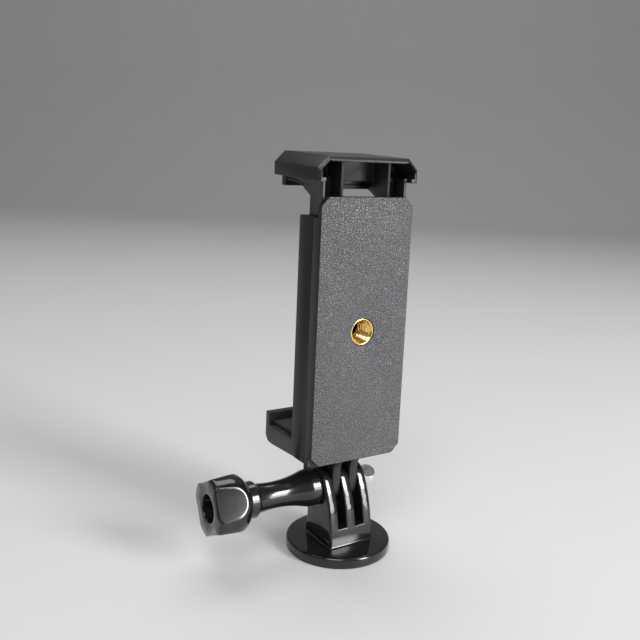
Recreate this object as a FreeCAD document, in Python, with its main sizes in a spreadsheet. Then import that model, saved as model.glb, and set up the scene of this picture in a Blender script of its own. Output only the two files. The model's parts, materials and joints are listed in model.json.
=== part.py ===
"""Phone clip on a tripod adapter: a spring-loaded clip tilts on a round three-finger base.

Frame: origin at the centre of the foot disc's underside, +Z up, +X along the clamping screw
towards the cap nut, -Y towards the side of the clip that carries the tripod thread.
The clip's own pieces are drawn from the lower edge of its rear plate, X centred, Y = 0 on the
plate's outer face, and then placed over the hinge. Knob, screw and nut are drawn about the
hinge axis. Millimetres.
"""
import FreeCAD, Part
import math
import os

import Sketcher

doc = FreeCAD.newDocument("PhoneClip")

SIZES = [
    ("running_gap", 0.07, "clearance of pieces that slide or turn on each other"),
    # foot and three-finger block
    ("disc_radius", 16.0, "round foot"),
    ("disc_thickness", 3.2, "round foot"),
    ("disc_shoulder", 0.8, "rounding of the foot's upper edge"),
    ("disc_sole_edge", 0.3, "bevel of the foot's lower edge"),
    ("block_size", 15.0, "width and depth of the block on the foot"),
    ("finger_gap", 3.0, "slot between two fingers"),
    ("slot_floor", 5.5, "height of the slot floor above the foot"),
    ("pivot_forward", 2.8, "hinge axis in front of the foot's centre"),
    ("pivot_height", 19.3, "hinge axis above the ground"),
    ("knuckle_radius", 6.0, "finger end about the hinge axis"),
    ("finger_hollow", 20.0, "radius of the hollow front edge of a finger"),
    ("block_edge", 0.4, "bevel of the block's outer edges"),
    ("block_fillet", 0.6, "fillet between block and foot"),
    # brass inserts
    ("insert_radius", 3.95, "outer radius of both brass inserts"),
    ("insert_bore", 2.65, "bore radius of both brass inserts"),
    ("insert_length", 8.0, "insert of the clip"),
    ("foot_insert_length", 6.5, "insert of the foot"),
    ("insert_recess", 0.2, "how far the clip's insert lies below the plate's face"),
    # clamping screw, cap nut and knob
    ("screw_radius", 2.0, "clamping screw"),
    ("nut_across", 7.0, "cap nut across its flats"),
    ("nut_hex_height", 2.6, "hexagon of the cap nut"),
    ("nut_seat", 1.0, "depth of the hexagon recess in the finger"),
    ("nut_dome_radius", 3.3, "dome of the cap nut"),
    ("nut_height", 8.2, "cap nut, hexagon and dome together"),
    ("flange_radius", 5.6, "knob end at the fingers"),
    ("flange_length", 3.0, "knob end at the fingers"),
    ("flange_edge", 0.4, "bevel of the knob end at the fingers"),
    ("neck_root_radius", 5.4, "knob neck beside the flange"),
    ("neck_end_radius", 4.65, "knob neck beside the band"),
    ("neck_shoulder", 1.2, "length over which flange and band run into the neck"),
    ("waist_hollow", 34.0, "radius of the neck's hollow outline"),
    ("neck_length", 16.0, "knob neck"),
    ("collar_radius", 5.9, "band before the knob's head"),
    ("collar_length", 2.8, "band before the knob's head"),
    ("head_root_radius", 6.1, "knob head where it starts"),
    ("head_radius", 9.2, "knob head at its widest"),
    ("head_middle_radius", 7.6, "knob head where its outline turns from hollow to round"),
    ("head_hollow", 13.0, "radius of the hollow part of the head's outline"),
    ("head_bulge", 12.0, "radius of the round part of the head's outline"),
    ("head_flare", 4.3, "half the length over which the head widens"),
    ("head_length", 13.3, "knob head"),
    ("head_edge", 0.7, "bevel of the head's end"),
    ("scallop_radius", 40.0, "dished flats of the head"),
    ("scallop_floor", 7.3, "lowest point of a dished flat from the axis, at the end face"),
    ("scallop_slope", 1.5, "degrees by which a dished flat runs out towards the neck"),
    ("scallop_turn", 27.0, "degrees of the first dished flat above the rear"),
    ("end_hole_radius", 4.0, "recess in the knob's end"),
    ("end_hole_depth", 7.0, "recess in the knob's end"),
    ("screw_bed", 24.0, "length of screw held inside the knob"),
    # clip body
    ("clip_width", 31.2, "rear plate and housing"),
    ("clip_height", 77.7, "rear plate"),
    ("plate_corner", 2.6, "bevelled plate corners"),
    ("plate_wall", 2.0, "rear plate thickness"),
    ("cover_depth", 4.3, "parting line between cover and housing"),
    ("side_wall", 1.1, "side walls of cover and housing"),
    ("floor_wall", 1.5, "lower end walls"),
    ("shoulder_drop", 5.85, "side walls end this far below the plate's top"),
    ("housing_depth", 11.75, "front face of the housing"),
    ("front_wall", 2.4, "front wall of the housing"),
    ("guide_rib_offset", 11.0, "guide ribs from the middle"),
    ("guide_rib_width", 1.2, "guide ribs inside the housing"),
    ("boss_radius", 5.8, "boss round the insert"),
    ("post_offset", 4.6, "screw posts from the middle"),
    ("post_drop", 19.7, "screw posts below the plate's upper edge"),
    ("post_radius", 2.3, "screw posts"),
    ("housing_screw_radius", 1.1, "housing screws"),
    ("housing_screw_length", 8.0, "housing screws under the head"),
    ("housing_screw_head", 2.0, "housing screw head radius"),
    ("housing_screw_cap", 0.9, "housing screw head height"),
    # lower jaw and hinge ears
    ("jaw_reach", 28.0, "lower jaw's tip from the plate's outer face"),
    ("jaw_seat", 6.24, "phone's lower edge above the plate's lower edge"),
    ("jaw_droop", 0.8, "fall of the lower jaw's underside towards its tip"),
    ("jaw_bevel", 1.0, "bevel along the lower jaw's underside"),
    ("jaw_tip_radius", 3.0, "rounding of the lower jaw's tip"),
    ("lip_wall", 2.2, "front lips of both jaws"),
    ("lip_height", 2.6, "front lips above the phone seat"),
    ("ear_width", 2.8, "hinge ears"),
    ("ear_radius", 5.3, "hinge ears about the hinge axis"),
    ("ear_back", 10.5, "hinge axis from the plate's outer face"),
    ("ear_drop", 10.9, "hinge axis below the plate's lower edge"),
    ("root_hollow", 5.0, "hollow in which ears and lower end run out to the rear face"),
    # rubber pads
    ("pad_wall", 1.2, "rubber of the jaws"),
    ("pad_margin", 1.6, "rubber ends from the jaw's sides"),
    ("cradle_radius", 24.0, "hollow of both jaws for the phone's edge"),
    ("cradle_end", 21.0, "where the hollow runs level"),
    ("back_pad_width", 22.0, "rubber behind the phone"),
    ("back_pad_margin", 10.85, "rubber behind the phone from the plate's ends"),
    ("back_pad_bed", 0.6, "recess of the rubber behind the phone"),
    ("back_pad_wall", 0.8, "rubber behind the phone"),
    # upper jaw
    ("leg_half_width", 14.43, "sliding leg"),
    ("leg_channel_wall", 1.0, "side walls and ribs of the leg"),
    ("leg_web", 0.9, "front web of the leg"),
    ("leg_depth", 6.33, "leg from its rear edge to its front face"),
    ("leg_corner", 2.4, "bevels of the leg's lower end"),
    ("leg_bottom", 6.0, "leg's lower end above the plate's lower edge"),
    ("crossbar_height", 3.0, "bar that closes the leg's window below"),
    ("window_half_width", 7.5, "window between the leg's ribs"),
    ("window_top", 3.9, "upper end of the window above the plate"),
    ("arm_half_width", 17.1, "arm"),
    ("arm_underside", 4.0, "arm above the plate"),
    ("arm_height", 7.05, "arm"),
    ("arm_corner", 3.3, "bevelled corners of the arm"),
    ("arm_reach", 25.0, "arm's tip from the plate's outer face"),
    ("arm_rise", 0.8, "rise of the arm towards its tip"),
    ("arm_lip", 1.5, "lip of the arm below the phone's upper edge"),
    ("seat_rise", 3.14, "phone's upper edge above the plate as shown"),
    ("pad_start", 12.0, "rear edge of the upper rubber"),
    ("rim_bevel", 0.9, "bevel round the arm's open rear"),
    ("arm_wall", 0.6, "walls of the arm's open rear"),
    ("arm_floor", 1.2, "floor of the arm's open rear"),
    ("arm_pocket", 9.4, "depth of the arm's open rear"),
    ("pocket_corner", 2.2, "bevelled corners of the arm's open rear"),
    # springs
    ("spring_clearance", 0.46, "gap between a spring and its channel"),
    ("spring_wire", 0.5, "spring wire"),
    ("spring_foot", 3.6, "lower spring peg above the plate's lower edge"),
    ("spring_length", 36.0, "distance of a spring's two pegs"),
    ("peg_radius", 0.9, "spring pegs"),
    ("peg_length", 4.2, "spring pegs"),
    # drawing aids
    ("bite", 0.5, "depth by which a joined form starts inside its neighbour"),
    ("past", 1.0, "distance by which a cut starts outside the material"),
]

sheet = doc.addObject("Spreadsheet::Sheet", "Size")
for row, (alias, value, note) in enumerate(SIZES, start=1):
    sheet.set("A%d" % row, alias)
    sheet.set("B%d" % row, str(value))
    sheet.set("C%d" % row, note)
    sheet.setAlias("B%d" % row, alias)
doc.recompute()


def size(expression):
    """The present value of an expression in the sheet's sizes, where S. stands for the sheet."""
    return float(sheet.evalExpression(expression.replace("S.", "Size.")))


def bind(thing, name, expression):
    """Ties a property of a document object to the sheet."""
    thing.setExpression(name, expression.replace("S.", "Size."))


def new_body(node, place=("0", "0", "0")):
    """An empty body whose label is its file's name, placed by three expressions."""
    body = doc.addObject("PartDesign::Body", node)
    body.Label = node
    for axis, expression in zip("xyz", place):
        bind(body, ".Placement.Base." + axis, expression)
    return body


CLIP_PLACE = ("0", "S.pivot_forward - S.ear_back", "S.pivot_height + S.ear_drop")
HINGE_PLACE = ("0", "S.pivot_forward", "S.pivot_height")


def new_sketch(body, name, plane, offset="0"):
    """A sketch on one of the body's origin planes, moved along the plane's normal."""
    sketch = body.newObject("Sketcher::SketchObject", name)
    origin = [item for item in body.Origin.OriginFeatures if item.Role == plane][0]
    sketch.AttachmentSupport = (origin, [""])
    sketch.MapMode = "FlatFace"
    bind(sketch, ".AttachmentOffset.Base.z", offset)
    return sketch


def fix_point(sketch, edge, end, place):
    """Dimensions a point of a sketch edge from the sketch's origin."""
    for kind, expression in zip(("DistanceX", "DistanceY"), place):
        index = sketch.addConstraint(
            Sketcher.Constraint(kind, -1, 1, edge, end, size(expression)))
        bind(sketch, "Constraints[%d]" % index, expression)


def fix_radius(sketch, edge, expression):
    """Dimensions the radius of a sketch arc or circle."""
    index = sketch.addConstraint(Sketcher.Constraint("Radius", edge, size(expression)))
    bind(sketch, "Constraints[%d]" % index, expression)


def arc_between(start, end, radius):
    """The short arc from start to end; a positive radius has its centre on the left."""
    middle = (start + end) * 0.5
    chord = end - start
    left = FreeCAD.Vector(-chord.y, chord.x, 0).normalize()
    reach = math.sqrt(max(radius ** 2 - (chord.Length / 2) ** 2, 0.0))
    centre = middle + left * (reach if radius > 0 else -reach)
    circle = Part.Circle(centre, FreeCAD.Vector(0, 0, 1), abs(radius))
    first, last = (start, end) if radius > 0 else (end, start)
    return Part.ArcOfCircle(circle, circle.parameter(first), circle.parameter(last))


def outline(sketch, corners):
    """Draws a closed outline; a corner is (x, y), or (x, y, radius of the arc that follows)."""
    points = [FreeCAD.Vector(size(c[0]), size(c[1]), 0) for c in corners]
    first_edge = sketch.GeometryCount
    starts = []
    for number, corner in enumerate(corners):
        here = points[number]
        there = points[(number + 1) % len(corners)]
        if len(corner) == 2:
            edge = sketch.addGeometry(Part.LineSegment(here, there), False)
            starts.append((edge, 1, 2))
        else:
            radius = size(corner[2])
            edge = sketch.addGeometry(arc_between(here, there, radius), False)
            starts.append((edge, 1, 2) if radius > 0 else (edge, 2, 1))
    for number, corner in enumerate(corners):
        edge, begin, end = starts[number]
        following = starts[(number + 1) % len(corners)]
        sketch.addConstraint(
            Sketcher.Constraint("Coincident", edge, end, following[0], following[1]))
        fix_point(sketch, edge, begin, corner[:2])
    for number, corner in enumerate(corners):
        if len(corner) == 3:
            sign = "" if size(corner[2]) > 0 else "-"
            fix_radius(sketch, starts[number][0], "%s(%s)" % (sign, corner[2]))
    return first_edge


def circle(sketch, centre, radius):
    """Draws a circle."""
    edge = sketch.addGeometry(
        Part.Circle(FreeCAD.Vector(size(centre[0]), size(centre[1]), 0),
                    FreeCAD.Vector(0, 0, 1), size(radius)), False)
    fix_point(sketch, edge, 3, centre)
    fix_radius(sketch, edge, radius)


def extrude(body, name, sketch, length, cut=False, backwards=False):
    """Pads a sketch along its normal, or cuts it the same way, and checks that a cut cuts."""
    doc.recompute()
    before = body.Shape.Volume if body.Tip else 0.0
    kind = "PartDesign::Pocket" if cut else "PartDesign::Pad"
    feature = body.newObject(kind, name)
    feature.Profile = sketch
    feature.Reversed = cut != backwards
    bind(feature, "Length", length)
    body.Tip = feature
    doc.recompute()
    if cut and not body.Shape.Volume < before:
        raise RuntimeError("%s cuts nothing" % name)
    return feature


def slab(body, name, across, deep, high, cut=False):
    """Adds or cuts a block given by its limits along X, Y and Z."""
    sketch = new_sketch(body, name + "_outline", "XY_Plane", high[0])
    outline(sketch, [(across[0], deep[0]), (across[1], deep[0]),
                     (across[1], deep[1]), (across[0], deep[1])])
    return extrude(body, name, sketch, "(%s) - (%s)" % (high[1], high[0]), cut)


def side_prism(body, name, corners, across, cut=False):
    """Adds or cuts a prism along X from an outline of (y, z) corners."""
    sketch = new_sketch(body, name + "_outline", "YZ_Plane", across[0])
    outline(sketch, corners)
    return extrude(body, name, sketch, "(%s) - (%s)" % (across[1], across[0]), cut)


def rear_prism(body, name, corners, deep, cut=False):
    """Adds or cuts a prism along Y from an outline of (x, z) corners."""
    sketch = new_sketch(body, name + "_outline", "XZ_Plane", "-(%s)" % deep[0])
    outline(sketch, corners)
    return extrude(body, name, sketch, "(%s) - (%s)" % (deep[1], deep[0]), cut, True)


def disc(body, name, plane, centre, radius, span, cut=False):
    """Adds or cuts a round along the normal of an origin plane, between two heights."""
    flipped = plane == "XZ_Plane"
    offset = "-(%s)" % span[0] if flipped else span[0]
    sketch = new_sketch(body, name + "_outline", plane, offset)
    circle(sketch, centre, radius)
    return extrude(body, name, sketch, "(%s) - (%s)" % (span[1], span[0]), cut, flipped)


def turned(body, name, corners, cut=False):
    """Revolves an outline of (x, radius) corners about the body's X axis."""
    sketch = new_sketch(body, name + "_outline", "XY_Plane")
    outline(sketch, corners)
    doc.recompute()
    before = body.Shape.Volume if body.Tip else 0.0
    kind = "PartDesign::Groove" if cut else "PartDesign::Revolution"
    feature = body.newObject(kind, name)
    feature.Profile = sketch
    axis = [item for item in body.Origin.OriginFeatures if item.Role == "X_Axis"][0]
    feature.ReferenceAxis = (axis, [""])
    feature.Angle = 360.0
    body.Tip = feature
    doc.recompute()
    if cut and not body.Shape.Volume < before:
        raise RuntimeError("%s cuts nothing" % name)
    return feature


def round_edges(body, name, radius, chosen, bevel=False):
    """Fillets or chamfers the edges of the body's last feature for which chosen(edge) is true."""
    doc.recompute()
    base = body.Tip
    names = ["Edge%d" % (number + 1)
             for number, edge in enumerate(base.Shape.Edges) if chosen(edge)]
    if not names:
        raise RuntimeError("%s finds no edge" % name)
    feature = body.newObject("PartDesign::Chamfer" if bevel else "PartDesign::Fillet", name)
    feature.Base = (base, names)
    bind(feature, "Size" if bevel else "Radius", radius)
    body.Tip = feature
    doc.recompute()
    return feature


def lies(edge, axis, value):
    """True for an edge that lies wholly at a value along an axis (x, y or z)."""
    bounds = edge.BoundBox
    low = getattr(bounds, axis.upper() + "Min")
    high = getattr(bounds, axis.upper() + "Max")
    return abs(low - value) < 0.001 and abs(high - value) < 0.001


def finger_outline(sketch):
    """Side outline of the block: a hollow front edge and a bulged rear edge join the knuckle."""
    front = size("S.block_size / 2")
    base = size("S.disc_thickness")
    pivot = FreeCAD.Vector(size("S.pivot_forward"), size("S.pivot_height"), 0)
    knuckle = size("S.knuckle_radius")
    hollow = size("S.finger_hollow")
    front_foot = FreeCAD.Vector(front, base, 0)
    rear_foot = FreeCAD.Vector(-front, base, 0)
    rise = pivot.y - base
    run = pivot.x + front
    bulge = (run ** 2 + rise ** 2 - knuckle ** 2) / (2 * (run - knuckle))
    bulge_centre = rear_foot + FreeCAD.Vector(bulge, 0, 0)
    to_foot = front_foot - pivot
    turn = math.acos((2 * hollow * knuckle + knuckle ** 2 - to_foot.Length ** 2)
                     / (2 * hollow * to_foot.Length))
    lean = math.atan2(to_foot.y, to_foot.x) + turn
    hollow_centre = front_foot + FreeCAD.Vector(math.cos(lean), math.sin(lean), 0) * hollow
    rear_join = pivot + (pivot - bulge_centre).normalize() * knuckle
    front_join = pivot + (hollow_centre - pivot).normalize() * knuckle
    sole = sketch.addGeometry(Part.LineSegment(rear_foot, front_foot), False)
    front_edge = sketch.addGeometry(arc_between(front_foot, front_join, -hollow), False)
    top = sketch.addGeometry(
        Part.Arc(front_join, pivot + FreeCAD.Vector(0, knuckle, 0), rear_join), False)
    rear_edge = sketch.addGeometry(arc_between(rear_join, rear_foot, bulge), False)
    for one, one_end, other, other_end in ((sole, 2, front_edge, 2), (rear_edge, 2, sole, 1)):
        sketch.addConstraint(
            Sketcher.Constraint("Coincident", one, one_end, other, other_end))
    sketch.addConstraint(Sketcher.Constraint("Tangent", front_edge, 1, top, 1))
    sketch.addConstraint(Sketcher.Constraint("Tangent", top, 2, rear_edge, 1))
    fix_point(sketch, sole, 1, ("-S.block_size / 2", "S.disc_thickness"))
    fix_point(sketch, sole, 2, ("S.block_size / 2", "S.disc_thickness"))
    fix_point(sketch, top, 3, ("S.pivot_forward", "S.pivot_height"))
    fix_radius(sketch, top, "S.knuckle_radius")
    fix_radius(sketch, front_edge, "S.finger_hollow")
    level = sketch.addConstraint(
        Sketcher.Constraint("DistanceY", -1, 1, rear_edge, 3, base))
    bind(sketch, "Constraints[%d]" % level, "S.disc_thickness")


FINGER = "((S.block_size - 2 * S.finger_gap) / 3)"
SLOT_FLOOR = "(S.disc_thickness + S.slot_floor)"
KNUCKLE_TOP = "(S.pivot_height + S.knuckle_radius)"


def make_tripod_base():
    """Foot disc and three-finger block, one moulding."""
    body = new_body("tripod_base")
    disc(body, "foot", "XY_Plane", ("0", "0"), "S.disc_radius", ("0", "S.disc_thickness"))
    sketch = new_sketch(body, "fingers_outline", "YZ_Plane", "-S.block_size / 2")
    finger_outline(sketch)
    extrude(body, "fingers", sketch, "S.block_size")
    half = size("S.block_size / 2")
    top = size("S.disc_thickness")
    round_edges(body, "block_corners", "S.block_edge",
                lambda edge: (lies(edge, "x", half) or lies(edge, "x", -half))
                and edge.BoundBox.ZMax > top + 1, bevel=True)
    round_edges(body, "block_foot_fillet", "S.block_fillet",
                lambda edge: lies(edge, "z", top) and edge.BoundBox.XMax < half + 1
                and edge.BoundBox.YMax < half + 1)
    for side, name in ((1, "slot_right"), (-1, "slot_left")):
        near = "%d * (%s / 2)" % (side, FINGER)
        far = "%d * (%s / 2 + S.finger_gap)" % (side, FINGER)
        low, high = (near, far) if side > 0 else (far, near)
        slab(body, name, (low, high), ("-S.block_size", "S.block_size"),
             (SLOT_FLOOR, KNUCKLE_TOP + " + 1"), cut=True)
    disc(body, "screw_hole", "YZ_Plane", ("S.pivot_forward", "S.pivot_height"),
         "S.screw_radius + S.running_gap", ("-S.block_size", "S.block_size"), cut=True)
    sketch = new_sketch(body, "nut_recess_outline", "YZ_Plane", "S.block_size / 2 - S.nut_seat")
    hexagon(sketch, "S.pivot_forward", "S.pivot_height", "S.nut_across / 2")
    extrude(body, "nut_recess", sketch, "S.nut_seat + 1", cut=True)
    disc(body, "insert_hole", "XY_Plane", ("0", "0"), "S.insert_radius",
         ("0", "S.foot_insert_length"), cut=True)
    radius = size("S.disc_radius")
    round_edges(body, "shoulder", "S.disc_shoulder",
                lambda edge: lies(edge, "z", top) and edge.BoundBox.XMax > radius - 0.01)
    round_edges(body, "sole_edge", "S.disc_sole_edge",
                lambda edge: lies(edge, "z", 0) and edge.BoundBox.XMax > radius - 0.01,
                bevel=True)
    return body


def hexagon(sketch, centre_x, centre_y, half_flat):
    """Draws a hexagon with two flats upright."""
    tall = "(%s) / cos(30 deg)" % half_flat
    corners = []
    for number in range(6):
        corners.append(("%s + (%s) * cos(%d deg)" % (centre_x, tall, 30 + 60 * number),
                        "%s + (%s) * sin(%d deg)" % (centre_y, tall, 30 + 60 * number)))
    outline(sketch, corners)


def make_base_insert():
    """Brass threaded insert in the foot, open to the ground."""
    body = new_body("base_insert")
    disc(body, "barrel", "XY_Plane", ("0", "0"), "S.insert_radius",
         ("0", "S.foot_insert_length"))
    disc(body, "bore", "XY_Plane", ("0", "0"), "S.insert_bore",
         ("-1", "S.foot_insert_length + 1"), cut=True)
    return body


NUT_START = "(S.block_size / 2 - S.nut_seat)"


def make_cap_nut():
    """Chrome cap nut seated in the hexagon recess of the outer finger."""
    body = new_body("cap_nut", HINGE_PLACE)
    sketch = new_sketch(body, "hexagon_outline", "YZ_Plane", NUT_START)
    hexagon(sketch, "0", "0", "S.nut_across / 2")
    extrude(body, "hexagon", sketch, "S.nut_hex_height")
    dome_start = "%s + S.nut_hex_height" % NUT_START
    dome_end = "%s + S.nut_height" % NUT_START
    turned(body, "dome", [
        (dome_start, "0"),
        (dome_start, "S.nut_dome_radius"),
        (dome_end + " - S.nut_dome_radius", "S.nut_dome_radius", "-S.nut_dome_radius"),
        (dome_end, "0"),
    ])
    disc(body, "thread_hole", "YZ_Plane", ("0", "0"), "S.screw_radius + S.running_gap",
         (NUT_START + " - 1", dome_end + " - S.nut_dome_radius / 2"), cut=True)
    return body


FLANGE_FACE = "(-S.block_size / 2 - S.running_gap)"
NECK_START = "(%s - S.flange_length)" % FLANGE_FACE
NECK_END = "(%s - S.neck_length)" % NECK_START
COLLAR_END = "(%s - S.collar_length)" % NECK_END
HEAD_END = "(%s - S.head_length)" % COLLAR_END


def make_thumb_screw():
    """Steel screw from the knob through fingers and ears into the cap nut."""
    body = new_body("thumb_screw", HINGE_PLACE)
    disc(body, "rod", "YZ_Plane", ("0", "0"), "S.screw_radius",
         ("%s - S.screw_bed" % FLANGE_FACE,
          "%s + S.nut_height - S.nut_dome_radius" % NUT_START))
    return body


def make_thumb_knob():
    """Turned knob: flange, hollow neck, band, flared head with four dished flats."""
    body = new_body("thumb_knob", HINGE_PLACE)
    placed = FreeCAD.Placement(body.Placement)
    placed.Rotation = FreeCAD.Rotation(FreeCAD.Vector(-1, 0, 0), size("S.scallop_turn"))
    body.Placement = placed
    bind(body, ".Placement.Rotation.Angle", "S.scallop_turn * 1 deg")
    head_start = "%s - S.flange_edge" % COLLAR_END
    head_middle = "%s - S.head_flare" % head_start
    turned(body, "turned_form", [
        (FLANGE_FACE, "0"),
        (FLANGE_FACE, "S.flange_radius - S.flange_edge"),
        (FLANGE_FACE + " - S.flange_edge", "S.flange_radius"),
        (NECK_START, "S.flange_radius"),
        (NECK_START + " - S.neck_shoulder", "S.neck_root_radius", "-S.waist_hollow"),
        (NECK_END + " + S.neck_shoulder / 2", "S.neck_end_radius"),
        (NECK_END, "S.collar_radius"),
        (COLLAR_END, "S.collar_radius"),
        (head_start, "S.head_root_radius", "-S.head_hollow"),
        (head_middle, "S.head_middle_radius", "S.head_bulge"),
        (head_middle + " - S.head_flare", "S.head_radius"),
        (HEAD_END + " + S.head_edge", "S.head_radius"),
        (HEAD_END, "S.head_radius - S.head_edge"),
        (HEAD_END, "0"),
    ])
    cut_scallops(body)
    disc(body, "end_hole", "YZ_Plane", ("0", "0"), "S.end_hole_radius",
         (HEAD_END + " - 1", HEAD_END + " + S.end_hole_depth"), cut=True)
    disc(body, "screw_hole", "YZ_Plane", ("0", "0"), "S.screw_radius",
         ("%s - S.screw_bed" % FLANGE_FACE, "0"), cut=True)
    return body


def cut_scallops(body):
    """Four dished flats: a slim cone laid along the head is turned away, four times round."""
    reach = "(S.scallop_floor + S.scallop_radius)"
    slope = "tan(S.scallop_slope * 1 deg)"
    sketch = new_sketch(body, "scallop_outline", "XY_Plane")
    outline(sketch, [
        (HEAD_END + " - 1", "-" + reach),
        (HEAD_END + " + S.head_length", "-" + reach),
        (HEAD_END + " + S.head_length", "-S.scallop_floor - S.head_length * " + slope),
        (HEAD_END + " - 1", "-S.scallop_floor + " + slope),
    ])
    axis = sketch.addGeometry(
        Part.LineSegment(FreeCAD.Vector(size(HEAD_END), -size(reach), 0),
                         FreeCAD.Vector(0, -size(reach), 0)), True)
    fix_point(sketch, axis, 1, (HEAD_END, "-" + reach))
    fix_point(sketch, axis, 2, ("0", "-" + reach))
    doc.recompute()
    before = body.Shape.Volume
    groove = body.newObject("PartDesign::Groove", "scallop")
    groove.Profile = sketch
    groove.ReferenceAxis = (sketch, ["Axis0"])
    groove.Angle = 360.0
    body.Tip = groove
    doc.recompute()
    pattern = body.newObject("PartDesign::PolarPattern", "scallops")
    pattern.Originals = [groove]
    pattern.Axis = ([item for item in body.Origin.OriginFeatures if item.Role == "X_Axis"][0], [""])
    pattern.Angle = 360.0
    pattern.Occurrences = 4
    body.Tip = pattern
    doc.recompute()
    if not body.Shape.Volume < before:
        raise RuntimeError("the dished flats cut nothing")


CLIP_HALF = "(S.clip_width / 2)"
SHOULDER = "(S.clip_height - S.shoulder_drop)"
MIDDLE = "(S.clip_height / 2)"
INNER_HALF = "(%s - S.side_wall)" % CLIP_HALF
CHANNEL_MIDDLE = "(S.window_half_width + S.leg_channel_wall + " \
    "(S.leg_half_width - S.window_half_width - 2 * S.leg_channel_wall) / 2)"
SPRING_RADIUS = "((S.leg_half_width - S.window_half_width) / 2 - S.leg_channel_wall" \
    " - S.spring_clearance)"
FRONT_INSIDE = "(S.housing_depth - S.front_wall)"
EAR_REAR = "(S.ear_back - S.ear_radius)"
CHIN_REAR = "(%s - S.root_hollow)" % EAR_REAR
CHIN_LEVEL = "(sqrt(S.root_hollow ^ 2 - (S.cover_depth - %s) ^ 2) - S.root_hollow)" % CHIN_REAR


def bevelled(half, bottom, top, corner, lower_corner=None):
    """Corners of an upright outline, symmetric about X = 0, with bevelled corners."""
    lower = lower_corner or corner
    return [
        ("-%s + %s" % (half, lower), bottom),
        ("%s - %s" % (half, lower), bottom),
        (half, "%s + %s" % (bottom, lower)),
        (half, "%s - %s" % (top, corner)),
        ("%s - %s" % (half, corner), top),
        ("-%s + %s" % (half, corner), top),
        ("-%s" % half, "%s - %s" % (top, corner)),
        ("-%s" % half, "%s + %s" % (bottom, lower)),
    ]


def make_rear_cover():
    """Rear plate with low side walls, a chin, the insert's boss, screw posts and spring pegs."""
    body = new_body("rear_cover", CLIP_PLACE)
    rear_prism(body, "shell", [
        ("-" + CLIP_HALF, "0"),
        (CLIP_HALF, "0"),
        (CLIP_HALF, "S.clip_height - S.plate_corner"),
        (CLIP_HALF + " - S.plate_corner", "S.clip_height"),
        ("-%s + S.plate_corner" % CLIP_HALF, "S.clip_height"),
        ("-" + CLIP_HALF, "S.clip_height - S.plate_corner"),
    ], ("0", "S.cover_depth"))
    side_prism(body, "chin", [
        (CHIN_REAR, "S.bite"),
        (CHIN_REAR, "0", "-S.root_hollow"),
        ("S.cover_depth", CHIN_LEVEL),
        ("S.cover_depth", "S.bite"),
    ], ("-" + CLIP_HALF, CLIP_HALF))
    for side, word in ((1, "right"), (-1, "left")):
        outside = "%d * (%s + S.past)" % (side, CLIP_HALF)
        inside = "%d * (%s - S.plate_corner - S.root_hollow)" % (side, CLIP_HALF)
        corners = [
            (outside, "S.plate_corner + S.past"),
            (outside, "-S.root_hollow"),
            (inside, "-S.root_hollow"),
        ]
        rear_prism(body, "lower_bevel_" + word, corners, ("-S.past", "S.plate_wall"), cut=True)
    rear_prism(body, "hollow", bevelled(INNER_HALF, "S.floor_wall", "S.clip_height + 10",
                                        "(S.plate_corner - S.side_wall / 2)"),
               ("S.plate_wall", "S.cover_depth + 1"), cut=True)
    slab(body, "shoulders", ("-S.clip_width", "S.clip_width"),
         ("S.plate_wall", "S.cover_depth + 1"), (SHOULDER, "S.clip_height + 1"), cut=True)
    disc(body, "insert_boss", "XZ_Plane", ("0", MIDDLE), "S.boss_radius",
         ("S.plate_wall - 0.5", "S.insert_recess + S.insert_length"))
    disc(body, "insert_hole", "XZ_Plane", ("0", MIDDLE), "S.insert_radius",
         ("-1", "S.insert_recess + S.insert_length + 1"), cut=True)
    for side, word in ((1, "right"), (-1, "left")):
        post = ("%d * S.post_offset" % side, "S.clip_height - S.post_drop")
        disc(body, "post_" + word, "XZ_Plane", post, "S.post_radius",
             ("S.plate_wall - 0.5", FRONT_INSIDE))
        disc(body, "post_hole_" + word, "XZ_Plane", post, "S.housing_screw_radius",
             (FRONT_INSIDE + " - S.housing_screw_length", FRONT_INSIDE + " + 1"), cut=True)
        disc(body, "spring_peg_" + word, "XZ_Plane",
             ("%d * %s" % (side, CHANNEL_MIDDLE), "S.spring_foot"), "S.peg_radius",
             ("S.plate_wall - 0.5", "S.plate_wall + S.peg_length"))
    return body


def make_clip_insert():
    """Brass threaded insert in the rear plate."""
    body = new_body("clip_insert", CLIP_PLACE)
    disc(body, "barrel", "XZ_Plane", ("0", MIDDLE), "S.insert_radius",
         ("S.insert_recess", "S.insert_recess + S.insert_length"))
    disc(body, "bore", "XZ_Plane", ("0", MIDDLE), "S.insert_bore",
         ("-1", "S.insert_recess + S.insert_length + 1"), cut=True)
    return body


CRADLE_LEVEL = "(S.cradle_radius - sqrt(S.cradle_radius ^ 2 - (S.cradle_end - %s) ^ 2))"
CRADLE_RISE = CRADLE_LEVEL % "S.housing_depth"
JAW_LIP = "(S.jaw_reach - S.lip_wall)"
ARM_LIP = "(S.arm_reach - S.lip_wall)"


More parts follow.
